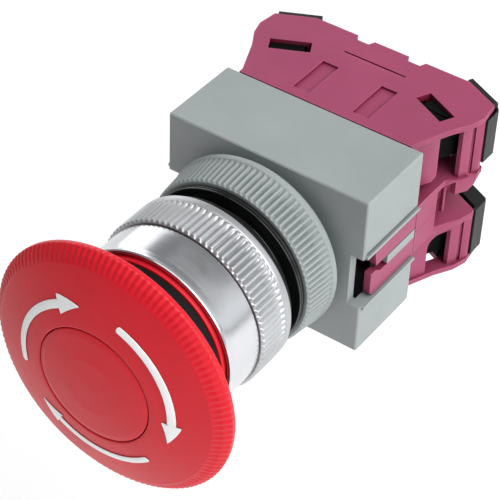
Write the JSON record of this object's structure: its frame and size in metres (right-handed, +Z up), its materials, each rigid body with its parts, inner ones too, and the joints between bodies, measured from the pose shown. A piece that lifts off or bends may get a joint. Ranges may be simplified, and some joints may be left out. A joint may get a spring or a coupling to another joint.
{
  "type": "emergency stop push button",
  "caption": "Red mushroom-head push-lock, turn-to-reset emergency stop button with a chrome panel bezel, grey operator body and pink screw-terminal contact blocks.",
  "frame": {"origin": "centre of the panel hole, in the plane of the gasket's rear face, which rests on the panel", "axes": "button axis along Y: the head faces -Y and the contact blocks are towards +Y; X along the operator body's long side; +Z up, towards the upper contact block"},
  "size_m": [0.0404, 0.075, 0.04],
  "materials": {
    "red_plastic": "satin moulded red",
    "white_ink": "printed white",
    "chrome": "polished",
    "satin_metal": "satin",
    "black_rubber": "smooth black",
    "grey_plastic": "fine matte grey",
    "pink_plastic": "satin moulded pink",
    "black_plastic": "satin black",
    "white_plastic": "moulded",
    "steel": "plated",
    "silver_contact": "plated contact strip"
  },
  "bodies": {
    "housing": {"bezel_knurl_ring": "satin_metal", "bezel_sleeve": "chrome", "lock_pin_spring_left": "steel", "lock_pin_spring_right": "steel", "lower_clamp_washer_left": "steel", "lower_clamp_washer_right": "steel", "lower_contact_cover": "pink_plastic", "lower_contact_housing": "pink_plastic", "lower_contact_spring": "steel", "lower_fixed_contact_left": "silver_contact", "lower_fixed_contact_right": "silver_contact", "lower_terminal_barrier_left": "black_plastic", "lower_terminal_barrier_right": "black_plastic", "lower_terminal_cover_left": "black_plastic", "lower_terminal_cover_right": "black_plastic", "lower_terminal_screw_left": "steel", "lower_terminal_screw_right": "steel", "operator_body": "grey_plastic", "panel_gasket": "black_rubber", "threaded_barrel": "black_plastic", "trip_spring": "steel", "upper_clamp_washer_left": "steel", "upper_clamp_washer_right": "steel", "upper_contact_cover": "pink_plastic", "upper_contact_housing": "pink_plastic", "upper_contact_spring": "steel", "upper_fixed_contact_left": "silver_contact", "upper_fixed_contact_right": "silver_contact", "upper_terminal_barrier_left": "black_plastic", "upper_terminal_barrier_right": "black_plastic", "upper_terminal_cover_left": "black_plastic", "upper_terminal_cover_right": "black_plastic", "upper_terminal_screw_left": "steel", "upper_terminal_screw_right": "steel"},
    "pusher": {"stem": "steel", "stem_clip": "steel", "pusher_plate": "white_plastic", "reset_spring": "steel"},
    "head": {"mushroom_cap": "red_plastic", "cap_disc": "red_plastic", "head_collar": "red_plastic", "head_seal_ring": "black_rubber", "reset_arrow_1": "white_ink", "reset_arrow_2": "white_ink", "reset_arrow_3": "white_ink"},
    "thrust_washer": {"thrust_washer": "black_rubber"},
    "locking_ring": {"locking_ring": "grey_plastic"},
    "lock_pin_left": {"lock_pin_left": "steel"},
    "lock_pin_right": {"lock_pin_right": "steel"},
    "upper_plunger": {"upper_contact_plunger": "white_plastic", "upper_moving_bridge": "silver_contact"},
    "lower_plunger": {"lower_contact_plunger": "white_plastic", "lower_moving_bridge": "silver_contact"}
  },
  "joints": [
    {"name": "head_push", "type": "slide", "parent": "housing", "child": "pusher", "axis": [0, 1, 0], "range_m": [0, 0.0055], "stiffness_N_per_m": 600, "springref_m": -0.004, "deforming": ["trip_spring"]},
    {"name": "head_turn", "type": "hinge", "parent": "pusher", "child": "head", "pos_m": [0, 0, 0], "axis": [0, 1, 0], "range_deg": [0, 45], "stiffness_Nm_per_rad": 0.05, "deforming": ["reset_spring"]},
    {"name": "ring_travel", "type": "slide", "parent": "housing", "child": "thrust_washer", "axis": [0, 1, 0], "range_m": [-0.001, 0.001]},
    {"name": "ring_turn", "type": "hinge", "parent": "thrust_washer", "child": "locking_ring", "pos_m": [0, 0, 0], "axis": [0, 1, 0], "range_deg": [-360, 360]},
    {"name": "lock_pin_left_slide", "type": "slide", "parent": "housing", "child": "lock_pin_left", "axis": [-1, 0, 0], "range_m": [0, 0.001], "deforming": ["lock_pin_spring_left"]},
    {"name": "lock_pin_right_slide", "type": "slide", "parent": "housing", "child": "lock_pin_right", "axis": [1, 0, 0], "range_m": [0, 0.001], "deforming": ["lock_pin_spring_right"]},
    {"name": "upper_plunger_slide", "type": "slide", "parent": "housing", "child": "upper_plunger", "axis": [0, 1, 0], "range_m": [0, 0.0055], "deforming": ["upper_contact_spring"]},
    {"name": "lower_plunger_slide", "type": "slide", "parent": "housing", "child": "lower_plunger", "axis": [0, 1, 0], "range_m": [0, 0.0055], "deforming": ["lower_contact_spring"]}
  ],
  "couplings": [
    {"joint": "ring_travel", "follows": "ring_turn", "m_per_rad": 0.00015915},
    {"joint": "lock_pin_left_slide", "follows": "head_push", "ratio": 0.1818},
    {"joint": "lock_pin_right_slide", "follows": "head_push", "ratio": 0.1818},
    {"joint": "upper_plunger_slide", "follows": "head_push", "ratio": 1},
    {"joint": "lower_plunger_slide", "follows": "head_push", "ratio": 1}
  ]
}
